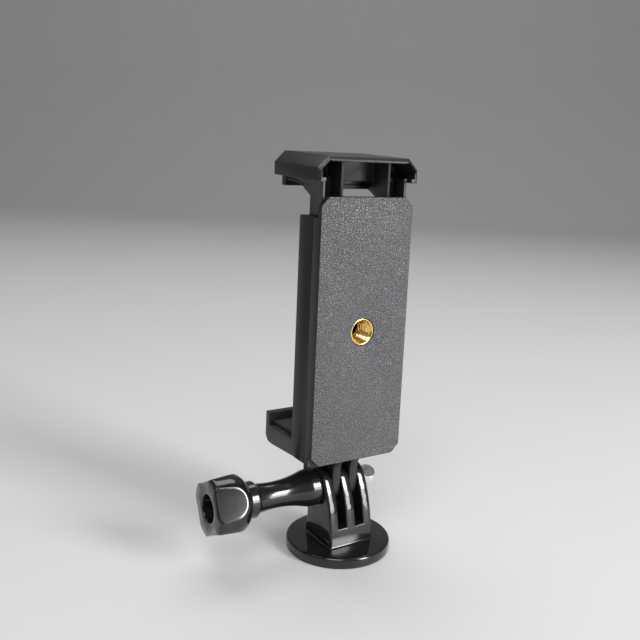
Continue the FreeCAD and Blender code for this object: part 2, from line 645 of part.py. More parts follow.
def make_front_housing():
    """Front shell with guide ribs, the lower jaw and the two hinge ears, one moulding."""
    body = new_body("front_housing", CLIP_PLACE)
    rear_prism(body, "shell", [
        ("-%s + S.jaw_bevel" % CLIP_HALF, "0"),
        ("%s - S.jaw_bevel" % CLIP_HALF, "0"),
        (CLIP_HALF, "S.jaw_bevel"),
        (CLIP_HALF, SHOULDER),
        ("-" + CLIP_HALF, SHOULDER),
        ("-" + CLIP_HALF, "S.jaw_bevel"),
    ], ("S.cover_depth", "S.housing_depth"))
    slab(body, "hollow", ("-" + INNER_HALF, INNER_HALF),
         ("S.cover_depth - 1", FRONT_INSIDE), ("S.floor_wall", "S.clip_height"), cut=True)
    rib_rear = "S.plate_wall + 2 * S.running_gap + S.leg_depth"
    for side, word in ((1, "right"), (-1, "left")):
        middle = "%d * S.guide_rib_offset" % side
        slab(body, "guide_rib_" + word,
             (middle + " - S.guide_rib_width / 2", middle + " + S.guide_rib_width / 2"),
             (rib_rear, FRONT_INSIDE + " + 0.5"), ("S.floor_wall - 0.5", SHOULDER))
    slab(body, "top_lip", ("-%s - 0.5" % INNER_HALF, INNER_HALF + " + 0.5"),
         (rib_rear, FRONT_INSIDE + " + 0.5"), (SHOULDER + " - S.floor_wall", SHOULDER))
    side_prism(body, "lower_jaw", [
        ("S.housing_depth - 0.5", "0"),
        ("S.jaw_reach - S.jaw_tip_radius", "-S.jaw_droop", "S.jaw_tip_radius"),
        ("S.jaw_reach", "S.jaw_tip_radius - S.jaw_droop"),
        ("S.jaw_reach", "S.jaw_seat + S.lip_height"),
        (JAW_LIP, "S.jaw_seat + S.lip_height"),
        (JAW_LIP, "S.jaw_seat - S.pad_wall"),
        ("S.housing_depth", "S.jaw_seat - S.pad_wall"),
        ("S.housing_depth - 0.5", "S.jaw_seat - S.pad_wall"),
    ], ("-" + CLIP_HALF, CLIP_HALF))
    for side, word in ((1, "right"), (-1, "left")):
        near = "(%s / 2 + (S.finger_gap - S.ear_width) / 2)" % FINGER
        far = "(%s + S.ear_width)" % near
        span = (near, far) if side > 0 else ("-" + far, "-" + near)
        slab(body, "ear_root_" + word, span,
             ("S.ear_back - S.ear_radius", "S.ear_back + S.ear_radius"),
             ("-S.ear_drop", "0.5"))
        disc(body, "ear_end_" + word, "YZ_Plane", ("S.ear_back", "-S.ear_drop"),
             "S.ear_radius", span)
        side_prism(body, "ear_flare_" + word, [
            ("S.cover_depth", "S.bite"),
            ("S.cover_depth", CHIN_LEVEL, "-S.root_hollow"),
            (EAR_REAR, "-S.root_hollow"),
            (EAR_REAR + " + S.bite", "-S.root_hollow"),
            (EAR_REAR + " + S.bite", "S.bite"),
        ], span)
    disc(body, "screw_hole", "YZ_Plane", ("S.ear_back", "-S.ear_drop"),
         "S.screw_radius + S.running_gap", ("-S.block_size", "S.block_size"), cut=True)
    rear_prism(body, "pad_bed", [
        ("-S.back_pad_width / 2", "S.back_pad_margin"),
        ("S.back_pad_width / 2", "S.back_pad_margin"),
        ("S.back_pad_width / 2", "S.clip_height - S.back_pad_margin"),
        ("-S.back_pad_width / 2", "S.clip_height - S.back_pad_margin"),
    ], ("S.housing_depth - S.back_pad_bed", "S.housing_depth + 1"), cut=True)
    for side, word in ((1, "right"), (-1, "left")):
        post = ("%d * S.post_offset" % side, "S.clip_height - S.post_drop")
        disc(body, "screw_hole_" + word, "XZ_Plane", post,
             "S.housing_screw_radius + S.running_gap",
             (FRONT_INSIDE + " - 1", "S.housing_depth"), cut=True)
        disc(body, "screw_seat_" + word, "XZ_Plane", post,
             "S.housing_screw_head + S.running_gap",
             ("S.housing_depth - S.back_pad_bed - S.housing_screw_cap", "S.housing_depth"),
             cut=True)
    return body


def make_housing_screw(side, word):
    """Self-tapping screw that holds the housing on a post of the cover, under the rubber."""
    body = new_body("housing_screw_" + word, CLIP_PLACE)
    place = ("%d * S.post_offset" % side, "S.clip_height - S.post_drop")
    seat = "(S.housing_depth - S.back_pad_bed - S.housing_screw_cap)"
    disc(body, "shank", "XZ_Plane", place, "S.housing_screw_radius",
         (seat + " - S.housing_screw_length", seat))
    disc(body, "head", "XZ_Plane", place, "S.housing_screw_head",
         (seat, seat + " + S.housing_screw_cap"))
    return body


def make_spring(side, word):
    """Closely wound extension spring between a peg of the cover and a peg of the upper jaw."""
    body = new_body("spring_" + word, (
        "%d * %s" % (side, CHANNEL_MIDDLE),
        CLIP_PLACE[1] + " + (%s + %s) / 2" % (LEG_REAR, WEB_REAR),
        CLIP_PLACE[2] + " + S.spring_foot"))
    span = ("S.peg_radius + S.running_gap", "S.spring_length - S.peg_radius - S.running_gap")
    disc(body, "coil", "XY_Plane", ("0", "0"), SPRING_RADIUS, span)
    disc(body, "coil_hollow", "XY_Plane", ("0", "0"), SPRING_RADIUS + " - S.spring_wire",
         ("0", "S.spring_length"), cut=True)
    return body


def make_lower_jaw_pad():
    """Rubber on the lower jaw, hollowed for the phone's edge."""
    body = new_body("lower_jaw_pad", CLIP_PLACE)
    side_prism(body, "rubber", [
        ("S.housing_depth", "S.jaw_seat - S.pad_wall"),
        (JAW_LIP, "S.jaw_seat - S.pad_wall"),
        (JAW_LIP, "S.jaw_seat"),
        ("S.cradle_end", "S.jaw_seat", "-S.cradle_radius"),
        ("S.housing_depth", "S.jaw_seat + " + CRADLE_RISE),
    ], ("-%s + S.pad_margin" % CLIP_HALF, "%s - S.pad_margin" % CLIP_HALF))
    return body


def make_back_pad():
    """Rubber behind the phone."""
    body = new_body("back_pad", CLIP_PLACE)
    rear_prism(body, "rubber", [
        ("-S.back_pad_width / 2", "S.back_pad_margin"),
        ("S.back_pad_width / 2", "S.back_pad_margin"),
        ("S.back_pad_width / 2", "S.clip_height - S.back_pad_margin"),
        ("-S.back_pad_width / 2", "S.clip_height - S.back_pad_margin"),
    ], ("S.housing_depth - S.back_pad_bed",
        "S.housing_depth - S.back_pad_bed + S.back_pad_wall"))
    return body


ARM_LOW = "(S.clip_height + S.arm_underside)"
LEG_REAR = "(S.plate_wall + S.running_gap)"
LEG_FRONT = "(%s + S.leg_depth)" % LEG_REAR
WEB_REAR = "(%s - S.leg_web)" % LEG_FRONT
WINDOW_TOP = "(S.clip_height + S.window_top)"
UPPER_SEAT = "(S.clip_height + S.seat_rise)"
PAD_BACK = "(S.cradle_radius - sqrt((S.cradle_radius + S.pad_wall) ^ 2" \
    " - (S.cradle_end - S.pad_start) ^ 2))"


def make_upper_jaw_pad():
    """Rubber under the arm, hollowed for the phone's edge."""
    body = new_body("upper_jaw_pad", CLIP_PLACE)
    side_prism(body, "rubber", [
        ("S.pad_start", "%s - %s" % (UPPER_SEAT, CRADLE_LEVEL % "S.pad_start"),
         "-S.cradle_radius"),
        ("S.cradle_end", UPPER_SEAT),
        (ARM_LIP, UPPER_SEAT),
        (ARM_LIP, UPPER_SEAT + " + S.pad_wall"),
        ("S.cradle_end", UPPER_SEAT + " + S.pad_wall", "S.cradle_radius + S.pad_wall"),
        ("S.pad_start", "%s - %s" % (UPPER_SEAT, PAD_BACK)),
    ], ("-%s + S.pad_margin" % CLIP_HALF, "%s - S.pad_margin" % CLIP_HALF))
    return body


def arm_section(body, name, deep, shrink, rise):
    """Outline of the arm at a depth: two bevelled upper corners, drawn in by a bevel."""
    sketch = new_sketch(body, name, "XZ_Plane", "-(%s)" % deep)
    half = "(S.arm_half_width - %s)" % shrink
    low = "(%s + %s)" % (ARM_LOW, rise)
    high = "(%s + %s + S.arm_height - %s)" % (ARM_LOW, rise, shrink)
    outline(sketch, [
        ("-" + half, low),
        (half, low),
        (half, high + " - S.arm_corner"),
        (half + " - S.arm_corner", high),
        ("-%s + S.arm_corner" % half, high),
        ("-" + half, high + " - S.arm_corner"),
    ])
    return sketch


def make_upper_jaw():
    """Sliding jaw: leg with channels and window, open-backed arm, hollow for the phone's edge."""
    body = new_body("upper_jaw", CLIP_PLACE)
    rear = arm_section(body, "arm_rear", "0", "S.rim_bevel", "0")
    rim = arm_section(body, "arm_rim", "S.rim_bevel", "0", "0")
    tip = arm_section(body, "arm_tip", "S.arm_reach", "0", "S.arm_rise")
    doc.recompute()
    arm = body.newObject("PartDesign::AdditiveLoft", "arm")
    arm.Profile = rear
    arm.Sections = [rim, tip]
    arm.Ruled = True
    body.Tip = arm
    pocket_half = "(S.arm_half_width - S.rim_bevel - S.arm_wall)"
    pocket_low = "(%s + S.arm_floor)" % ARM_LOW
    pocket_high = "(%s + S.arm_height - S.rim_bevel - S.arm_wall)" % ARM_LOW
    rear_prism(body, "open_rear", [
        ("-" + pocket_half, pocket_low),
        (pocket_half, pocket_low),
        (pocket_half, pocket_high + " - S.pocket_corner"),
        (pocket_half + " - S.pocket_corner", pocket_high),
        ("-%s + S.pocket_corner" % pocket_half, pocket_high),
        ("-" + pocket_half, pocket_high + " - S.pocket_corner"),
    ], ("-1", "S.arm_pocket"), cut=True)
    side_prism(body, "cradle", [
        (WEB_REAR, "%s - %s" % (UPPER_SEAT, CRADLE_LEVEL % LEG_FRONT)),
        (LEG_FRONT, "%s - %s" % (UPPER_SEAT, CRADLE_LEVEL % LEG_FRONT), "-S.cradle_radius"),
        ("S.pad_start", "%s - %s" % (UPPER_SEAT, CRADLE_LEVEL % "S.pad_start")),
        ("S.pad_start", "%s - %s" % (UPPER_SEAT, PAD_BACK), "-(S.cradle_radius + S.pad_wall)"),
        ("S.cradle_end", UPPER_SEAT + " + S.pad_wall"),
        (ARM_LIP, UPPER_SEAT + " + S.pad_wall"),
        (ARM_LIP, UPPER_SEAT + " - S.arm_lip"),
        ("S.arm_reach", UPPER_SEAT + " - S.arm_lip"),
        ("S.arm_reach", ARM_LOW + " + S.arm_rise + 0.5"),
        (WEB_REAR, ARM_LOW + " + S.arm_floor / 2"),
    ], ("-S.leg_half_width", "S.leg_half_width"))
    rear_prism(body, "leg", [
        ("-S.leg_half_width + S.leg_corner", "S.leg_bottom"),
        ("S.leg_half_width - S.leg_corner", "S.leg_bottom"),
        ("S.leg_half_width", "S.leg_bottom + S.leg_corner"),
        ("S.leg_half_width", pocket_low),
        ("-S.leg_half_width", pocket_low),
        ("-S.leg_half_width", "S.leg_bottom + S.leg_corner"),
    ], (LEG_REAR, LEG_FRONT))
    for side, word in ((1, "right"), (-1, "left")):
        near = "(S.window_half_width + S.leg_channel_wall)"
        far = "(S.leg_half_width - S.leg_channel_wall)"
        span = (near, far) if side > 0 else ("-" + far, "-" + near)
        slab(body, "channel_" + word, span, ("-1", WEB_REAR),
             ("S.leg_bottom - 1", pocket_low + " + 0.5"), cut=True)
    slab(body, "window", ("-S.window_half_width", "S.window_half_width"),
         ("-1", "S.pad_start"), ("S.leg_bottom + S.crossbar_height", WINDOW_TOP),
         cut=True)
    slab(body, "window_head", ("-S.window_half_width", "S.window_half_width"),
         ("-1", "S.arm_pocket"), (WINDOW_TOP + " - 0.5", pocket_low + " + 0.5"), cut=True)
    slab(body, "floor_notch", ("-S.leg_half_width", "S.leg_half_width"),
         ("-1", LEG_REAR), (ARM_LOW + " - 1", pocket_low + " + 0.5"), cut=True)
    for side, word in ((1, "right"), (-1, "left")):
        near = "S.window_half_width"
        far = "(S.window_half_width + S.leg_channel_wall)"
        span = (near, far) if side > 0 else ("-" + far, "-" + near)
        slab(body, "rib_" + word, span, (LEG_REAR, "S.arm_pocket + 0.5"),
             (pocket_low + " - 0.5", pocket_high + " + 0.5"))
        disc(body, "spring_peg_" + word, "XZ_Plane",
             ("%d * %s" % (side, CHANNEL_MIDDLE), "S.spring_foot + S.spring_length"),
             "S.peg_radius", ("%s - S.peg_length" % WEB_REAR, WEB_REAR + " + 0.5"))
    return body


def report(body):
    """Prints what a body measures."""
    bounds = body.Shape.BoundBox
    print("%-16s volume %9.2f  x %.2f %.2f  y %.2f %.2f  z %.2f %.2f  solids %d valid %s" % (
        body.Label, body.Shape.Volume, bounds.XMin, bounds.XMax, bounds.YMin, bounds.YMax,
        bounds.ZMin, bounds.ZMax, len(body.Shape.Solids), body.Shape.isValid()))


nodes = [
    make_tripod_base(),
    make_base_insert(),
    make_cap_nut(),
    make_thumb_screw(),
    make_thumb_knob(),
    make_rear_cover(),
    make_clip_insert(),
    make_front_housing(),
    make_housing_screw(1, "right"),
    make_housing_screw(-1, "left"),
    make_lower_jaw_pad(),
    make_back_pad(),
    make_upper_jaw(),
    make_upper_jaw_pad(),
    make_spring(1, "right"),
    make_spring(-1, "left"),
]

doc.recompute()
for thing in doc.Objects:
    if "Invalid" in thing.State or "Error" in thing.State:
        raise RuntimeError("%s failed" % thing.Name)

os.makedirs("parts", exist_ok=True)
for node in nodes:
    report(node)
    if node.Shape.isNull() or not node.Shape.isValid():
        raise RuntimeError("%s has no valid shape" % node.Label)
    node.Shape.exportStep("parts/%s.step" % node.Label)
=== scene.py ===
"""Looks of the phone clip on its tripod adapter: materials, threads, springs, light and camera."""

import json
import math

import bmesh
import bpy
from mathutils import Matrix, Vector


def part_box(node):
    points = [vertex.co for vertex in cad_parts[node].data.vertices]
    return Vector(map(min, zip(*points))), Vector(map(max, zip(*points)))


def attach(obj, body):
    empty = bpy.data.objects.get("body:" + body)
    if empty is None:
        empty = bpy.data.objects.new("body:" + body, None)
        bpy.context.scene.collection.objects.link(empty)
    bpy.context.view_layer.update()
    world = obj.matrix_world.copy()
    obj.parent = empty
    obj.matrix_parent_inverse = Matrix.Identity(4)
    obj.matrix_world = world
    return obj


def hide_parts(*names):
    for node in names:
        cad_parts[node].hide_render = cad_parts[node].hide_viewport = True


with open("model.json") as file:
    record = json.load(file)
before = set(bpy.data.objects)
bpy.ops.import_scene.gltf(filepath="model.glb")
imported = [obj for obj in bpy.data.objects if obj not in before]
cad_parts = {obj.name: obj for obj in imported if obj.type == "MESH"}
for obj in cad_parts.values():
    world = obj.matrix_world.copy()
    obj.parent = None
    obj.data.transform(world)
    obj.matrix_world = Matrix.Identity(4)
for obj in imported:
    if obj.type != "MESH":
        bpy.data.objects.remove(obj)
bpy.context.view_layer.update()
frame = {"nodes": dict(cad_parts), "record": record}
MM = 0.001

# Where the photograph was taken from, in the row frame.
CAMERA_PLACE = Vector((-129.97, -192.13, 120.61)) * MM
CAMERA_YAW = math.radians(32.683)
CAMERA_PITCH = math.radians(9.755)
CAMERA_ROLL = math.radians(2.597)
CAMERA_LENS = 44.995
CAMERA_SHIFT = (-0.01657, -0.05179)

# Rounding of CAD edges: points this close are one, faces within this angle are one face, and an
# edge is sharp from this angle on.
WELD = 0.0005 * MM
FLAT_ANGLE = math.radians(0.4)
SHARP_ANGLE = math.radians(26)

# How often the soft-edge normal looks round it, and its radius on metal in millimetres.
EDGE_SAMPLES = 6
METAL_EDGE = 0.12

# Standard quarter-inch tripod thread.
THREAD_PITCH = 1.27 * MM
THREAD_MAJOR = 3.175 * MM
THREAD_DEPTH = 0.6 * MM

# The hinge axis runs along X at this Y and Z.
HINGE_LINE = (2.8 * MM, 19.3 * MM)

# Cap nut: height of its hexagon, radius of its dome. Clamping screw: its thread.
NUT_HEXAGON = 2.6 * MM
NUT_DOME = 3.3 * MM
ROD_PITCH = 0.7 * MM
ROD_THREAD_DEPTH = 0.32 * MM
ROD_THREADED = 9.0 * MM

# Lower side edges of the clip's housing: half its width, its lower end, how far the small bevel
# there reaches, and where it ends in front.
CLIP_HALF = 15.6 * MM
CLIP_FLOOR = 30.2 * MM
EDGE_REACH = 1.05 * MM
EDGE_FRONT = 4.1 * MM


def make_camera():
    """The camera, with its roll, at the photograph's place."""
    yaw, pitch, roll = CAMERA_YAW, CAMERA_PITCH, CAMERA_ROLL
    ahead = Vector((math.sin(yaw) * math.cos(pitch), math.cos(yaw) * math.cos(pitch),
                    -math.sin(pitch)))
    level = Vector((math.cos(yaw), -math.sin(yaw), 0.0))
    upright = level.cross(ahead)
    right = level * math.cos(roll) + upright * math.sin(roll)
    up = upright * math.cos(roll) - level * math.sin(roll)
    data = bpy.data.cameras.new("photo_camera")
    data.sensor_width = 36.0
    data.lens = CAMERA_LENS
    data.shift_x, data.shift_y = CAMERA_SHIFT
    data.clip_start = 0.01
    camera = bpy.data.objects.new("photo_camera", data)
    turn = Matrix((right, up, -ahead)).transposed()
    camera.matrix_world = Matrix.Translation(CAMERA_PLACE) @ turn.to_4x4()
    bpy.context.scene.collection.objects.link(camera)
    bpy.context.scene.camera = camera


def new_material(name):
    """An empty node material; returns it with its nodes, links and principled shader."""
    material = bpy.data.materials.new(name)
    material.use_nodes = True
    nodes, links = material.node_tree.nodes, material.node_tree.links
    return material, nodes, links, nodes["Principled BSDF"]


def place_of(nodes, links):
    """Object coordinates in millimetres."""
    coords = nodes.new("ShaderNodeTexCoord")
    mapping = nodes.new("ShaderNodeMapping")
    mapping.inputs["Scale"].default_value = (1 / MM, 1 / MM, 1 / MM)
    links.new(coords.outputs["Object"], mapping.inputs["Vector"])
    return mapping.outputs["Vector"]


def noise(nodes, links, place, scale, detail=2.0, roughness=0.5):
    """A noise pattern; the scale is in patches per millimetre."""
    texture = nodes.new("ShaderNodeTexNoise")
    texture.inputs["Scale"].default_value = scale
    texture.inputs["Detail"].default_value = detail
    texture.inputs["Roughness"].default_value = roughness
    links.new(place, texture.inputs["Vector"])
    return texture.outputs["Fac"]


def spread(nodes, links, value, low, high, start=0.0, end=1.0):
    """Maps a value from start..end to low..high."""
    mapped = nodes.new("ShaderNodeMapRange")
    mapped.inputs["From Min"].default_value = start
    mapped.inputs["From Max"].default_value = end
    mapped.inputs["To Min"].default_value = low
    mapped.inputs["To Max"].default_value = high
    links.new(value, mapped.inputs["Value"])
    return mapped.outputs["Result"]


def tint(nodes, links, value, dark, light):
    """Blends two colours by a value."""
    mix = nodes.new("ShaderNodeMix")
    mix.data_type = "RGBA"
    mix.inputs["A"].default_value = (*dark, 1.0)
    mix.inputs["B"].default_value = (*light, 1.0)
    links.new(value, mix.inputs["Factor"])
    return mix.outputs["Result"]


def facing_rear(nodes, links):
    """1 on faces that look to the rear, where the mould is textured and the base colour is painted
    lighter as painted sheen, and 0 on the others.
    """
    coords = nodes.new("ShaderNodeTexCoord")
    parts = nodes.new("ShaderNodeSeparateXYZ")
    links.new(coords.outputs["Normal"], parts.inputs["Vector"])
    return spread(nodes, links, parts.outputs["Y"], 1.0, 0.0, -0.97, -0.80)


def bump(nodes, links, height, depth, strength, under=None):
    """A bump of a real depth in millimetres, over another normal if there is one.

    The strength is a number, or the output of a node that masks the bump.
    """
    node = nodes.new("ShaderNodeBump")
    if isinstance(strength, float):
        node.inputs["Strength"].default_value = strength
    else:
        links.new(strength, node.inputs["Strength"])
    node.inputs["Distance"].default_value = depth * MM
    links.new(height, node.inputs["Height"])
    if under is not None:
        links.new(under, node.inputs["Normal"])
    return node.outputs["Normal"]


def soft_edge(nodes, radius):
    """A normal that rounds sharp edges by a radius in millimetres."""
    bevel = nodes.new("ShaderNodeBevel")
    bevel.samples = EDGE_SAMPLES
    bevel.inputs["Radius"].default_value = radius * MM
    return bevel.outputs["Normal"]


def moulded_plastic(name, dark, light, roughness, edge, orange_peel=0.004, coat=0.0):
    """Moulded plastic: faint unevenness, a little handling wear in the gloss, soft edges."""
    material, nodes, links, shader = new_material(name)
    place = place_of(nodes, links)
    cloud = noise(nodes, links, place, 0.11, 3.0)
    links.new(tint(nodes, links, cloud, dark, light), shader.inputs["Base Color"])
    speck = noise(nodes, links, place, 1.4, 4.0, 0.65)
    links.new(spread(nodes, links, speck, roughness[0], roughness[1], 0.3, 0.7),
              shader.inputs["Roughness"])
    fine = noise(nodes, links, place, 2.6, 3.0)
    rounded = soft_edge(nodes, edge)
    links.new(bump(nodes, links, fine, orange_peel, 1.0, rounded), shader.inputs["Normal"])
    shader.inputs["Coat Weight"].default_value = coat
    shader.inputs["Coat Roughness"].default_value = 0.04
    return material


def grained_plastic():
    """The rear cover: a grain of small uneven cells with fine grooves on its rear face, where a
    lighter grey is painted over the black as painted sheen.
    """
    material, nodes, links, shader = new_material("grained_plate")
    place = place_of(nodes, links)
    warp = nodes.new("ShaderNodeVectorMath")
    warp.operation = "MULTIPLY_ADD"
    drift = nodes.new("ShaderNodeTexNoise")
    drift.inputs["Scale"].default_value = 0.9
    links.new(place, drift.inputs["Vector"])
    links.new(drift.outputs["Color"], warp.inputs[0])
    warp.inputs[1].default_value = (0.5, 0.5, 0.5)
    links.new(place, warp.inputs[2])
    cells = nodes.new("ShaderNodeTexVoronoi")
    cells.feature = "DISTANCE_TO_EDGE"
    cells.inputs["Scale"].default_value = 1.5
    links.new(warp.outputs["Vector"], cells.inputs["Vector"])
    groove = spread(nodes, links, cells.outputs["Distance"], 0.0, 1.0, 0.0, 0.22)
    fine = noise(nodes, links, place, 4.0, 3.0, 0.6)
    rear = facing_rear(nodes, links)
    # Painted sheen: rear faces get a lighter speckled grey than the black of the other faces. The
    # speckle is the grain's own tone; the lightness is painted sheen.
    painted_sheen_grey = nodes.new("ShaderNodeMix")
    painted_sheen_grey.data_type = "RGBA"
    painted_sheen_grey.inputs["A"].default_value = (0.013, 0.013, 0.014, 1.0)
    links.new(rear, painted_sheen_grey.inputs["Factor"])
    speck = spread(nodes, links, noise(nodes, links, place, 2.2, 4.0, 0.7), 0.0, 1.0, 0.36, 0.64)
    links.new(tint(nodes, links, speck, (0.050, 0.050, 0.053), (0.170, 0.170, 0.176)),
              painted_sheen_grey.inputs["B"])
    links.new(painted_sheen_grey.outputs["Result"], shader.inputs["Base Color"])
    links.new(spread(nodes, links, fine, 0.34, 0.52, 0.3, 0.7), shader.inputs["Roughness"])
    pores = bump(nodes, links, fine, 0.05, rear)
    links.new(bump(nodes, links, groove, 0.22, rear, pores), shader.inputs["Normal"])
    return material


def metal(name, dark, light, roughness):
    """Bare metal with an uneven polish."""
    material, nodes, links, shader = new_material(name)
    shader.inputs["Metallic"].default_value = 1.0
    place = place_of(nodes, links)
    cloud = noise(nodes, links, place, 0.6, 3.0)
    links.new(tint(nodes, links, cloud, dark, light), shader.inputs["Base Color"])
    links.new(spread(nodes, links, cloud, roughness[0], roughness[1], 0.3, 0.7),
              shader.inputs["Roughness"])
    fine = noise(nodes, links, place, 3.0, 2.0)
    rounded = soft_edge(nodes, METAL_EDGE)
    links.new(bump(nodes, links, fine, 0.002, 1.0, rounded), shader.inputs["Normal"])
    return material


MATERIALS = {
    "clip_plastic": moulded_plastic("clip_plastic", (0.011, 0.011, 0.012),
                                    (0.016, 0.016, 0.017), (0.30, 0.41), 0.22),
    "base_plastic": moulded_plastic("base_plastic", (0.006, 0.006, 0.007),
                                    (0.009, 0.009, 0.010), (0.12, 0.155), 0.22, 0.0015, 0.35),
    "grained_cover": grained_plastic(),
    "brass": metal("brass", (0.80, 0.55, 0.20), (0.90, 0.66, 0.28), (0.14, 0.26)),
    "chrome": metal("chrome", (0.80, 0.80, 0.82), (0.88, 0.88, 0.90), (0.04, 0.09)),
    "steel": metal("steel", (0.55, 0.55, 0.56), (0.66, 0.66, 0.67), (0.18, 0.32)),
    "rubber": moulded_plastic("rubber", (0.020, 0.020, 0.021), (0.030, 0.030, 0.031),
                              (0.75, 0.88), 0.3, 0.012),
}


def finish_cad_nodes():
    """Gives every CAD node the material of its slot."""
    for part in frame["record"]["subparts"]:
        node = frame["nodes"][part["node"]]
        node.data.materials.clear()
        node.data.materials.append(MATERIALS[part["material_slot"]])


def mesh_piece(name, build, material, body, replaced):
    """A mesh piece in place of a CAD node; its slot is named like its material."""
    mesh = bpy.data.meshes.new(name)
    shape = bmesh.new()
    build(shape)
    bmesh.ops.recalc_face_normals(shape, faces=shape.faces)
    shape.to_mesh(mesh)
    shape.free()
    mesh.materials.append(MATERIALS[material])
    mesh.shade_smooth()
    piece = bpy.data.objects.new(name, mesh)
    bpy.context.scene.collection.objects.link(piece)
    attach(piece, body)
    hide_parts(replaced)


def join_rings(shape, rings):
    """Faces between each two neighbouring rings of vertices."""
    for one, other in zip(rings, rings[1:]):
        for k, vert in enumerate(one):
            after = (k + 1) % len(one)
            shape.faces.new((vert, one[after], other[after], other[k]))


def close_ends(shape, rings):
    """A flat face on the first and the last ring."""
    shape.faces.new(rings[0])
    shape.faces.new(reversed(rings[-1]))


def ring_about_hinge(shape, place, radii):
    """A ring of vertices about the hinge axis at an X place, with one radius for each."""
    axis_y, axis_z = HINGE_LINE
    angles = [math.tau * k / len(radii) for k in range(len(radii))]
    return [shape.verts.new((place, axis_y + radius * math.cos(angle),
                             axis_z + radius * math.sin(angle)))
            for angle, radius in zip(angles, radii)]


def sleeve_profile(node, axis):
    """Outer radius and ends of an insert, read from its CAD node."""
    low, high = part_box(node)
    across = (axis + 1) % 3
    return (high[across] - low[across]) / 2, low[axis], high[axis], (low + high) / 2


def threaded_sleeve(shape, node, axis):
    """A sleeve with a real helical thread in its bore and a countersunk mouth."""
    outer, start, end, centre = sleeve_profile(node, axis)
    turns = 64
    rows_per_pitch = 12
    countersink = 0.5 * MM
    mouth_slope = 0.8
    flank_slope, root_share = 2.6, 0.15
    edge = 0.15 * MM
    rows = math.ceil((end - start) / THREAD_PITCH * rows_per_pitch)
    along = [start + (end - start) * row / rows for row in range(rows + 1)]

    def point(radius, angle, reach):
        out = [0.0, 0.0, 0.0]
        out[axis] = reach
        first, second = (axis + 1) % 3, (axis + 2) % 3
        out[first] = centre[first] + radius * math.cos(angle)
        out[second] = centre[second] + radius * math.sin(angle)
        return shape.verts.new(out)

    def bore(angle, reach):
        phase = (reach / THREAD_PITCH - angle / math.tau) % 1.0
        ridge = min(1.0, max(0.0, abs(phase - 0.5) * flank_slope - root_share))
        radius = THREAD_MAJOR - THREAD_DEPTH * ridge
        to_mouth = min(reach - start, end - reach)
        return max(radius, THREAD_MAJOR + (countersink - to_mouth) * mouth_slope)

    rings = []
    for reach in along:
        rings.append([point(bore(math.tau * k / turns, reach), math.tau * k / turns, reach)
                      for k in range(turns)])
    for radius, reach in ((outer - edge, end), (outer, end - edge), (outer, start + edge),
                          (outer - edge, start)):
        rings.append([point(radius, math.tau * k / turns, reach) for k in range(turns)])
    rings.append(rings[0])
    join_rings(shape, rings)


def helix_spring(shape, node):
    """A closely wound extension spring with a loop round each peg.

    The upper loop is long, so that the jaw's peg can move down in it when the clip is empty.
    """
    low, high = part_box(node)
    centre = (low + high) / 2
    wire = 0.25 * MM
    coil = (high.x - low.x) / 2 - wire
    pitch = 0.62 * MM
    to_peg, loop = 0.97 * MM, 1.22 * MM
    short_leg, long_leg, cut_back = 0.9 * MM, 4.9 * MM, 0.4 * MM
    lower_peg, upper_peg = low.z - to_peg, high.z + to_peg
    start, end = lower_peg + 1.7 * MM, upper_peg - 5.6 * MM
    count = int((end - start) / pitch)
    steps, sides, bend_steps = 20, 6, 12

    def loop_round(peg, up, leg):
        """The loop from the coil round a peg, in the plane across it."""
        points = [(loop, peg - up * leg), (loop, peg)]
        points += [(loop * math.cos(math.pi * part / bend_steps), peg + up * loop
                    * math.sin(math.pi * part / bend_steps)) for part in range(1, bend_steps)]
        points += [(-loop, peg), (-loop, peg - up * (leg - cut_back))]
        return [Vector((centre.x + across, centre.y, rise)) for across, rise in points]

    path = loop_round(lower_peg, -1, short_leg)[::-1]
    for step in range(count * steps + 1):
        angle = math.tau * step / steps
        rise = start + (end - start) * step / (count * steps)
        path.append(Vector((centre.x + coil * math.cos(angle),
                            centre.y + coil * math.sin(angle), rise)))
    path += loop_round(upper_peg, 1, long_leg)
    rings = []
    side = Vector((0, 1, 0))
    for number, place in enumerate(path):
        ahead = (path[min(number + 1, len(path) - 1)] - path[max(number - 1, 0)]).normalized()
        side = (side - ahead * side.dot(ahead)).normalized()
        across = ahead.cross(side)
        rings.append([shape.verts.new(place + (across * math.cos(math.tau * k / sides)
                                               + side * math.sin(math.tau * k / sides)) * wire)
                      for k in range(sides)])
    join_rings(shape, rings)
    close_ends(shape, rings)


def make_inserts():
    """Both brass inserts with their threads."""
    mesh_piece("clip_insert_threaded",
               lambda shape: threaded_sleeve(shape, "clip_insert", 1),
               "brass", "clip", "clip_insert")
    mesh_piece("base_insert_threaded",
               lambda shape: threaded_sleeve(shape, "base_insert", 2),
               "brass", "base", "base_insert")


def rounded_piece(node, width, body):
    """A copy of a CAD node with every sharp edge rounded, in the node's place."""
    source = frame["nodes"][node]
    slot_name = next(part["material_slot"] for part in frame["record"]["subparts"]
                     if part["node"] == node)
    shape = bmesh.new()
    shape.from_mesh(source.data)
    if node == "front_housing":
        sharpen_lower_edge(shape)
    bmesh.ops.remove_doubles(shape, verts=shape.verts, dist=WELD)
    bmesh.ops.dissolve_degenerate(shape, dist=WELD, edges=shape.edges)
    bmesh.ops.dissolve_limit(shape, angle_limit=FLAT_ANGLE, verts=shape.verts,
                             edges=shape.edges)
    bmesh.ops.triangulate(shape, faces=shape.faces, ngon_method="BEAUTY")
    mesh = bpy.data.meshes.new(node + "_rounded")
    shape.to_mesh(mesh)
    shape.free()
    mesh.materials.clear()
    mesh.materials.append(MATERIALS[slot_name])
    mesh.shade_smooth()
    piece = bpy.data.objects.new(node + "_rounded", mesh)
    bpy.context.scene.collection.objects.link(piece)
    bevel = piece.modifiers.new("round_edges", "BEVEL")
    bevel.width = width * MM
    bevel.segments = 3
    bevel.limit_method = "ANGLE"
    bevel.angle_limit = SHARP_ANGLE
    bevel.use_clamp_overlap = False
    bevel.harden_normals = True
    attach(piece, body)
    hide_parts(node)


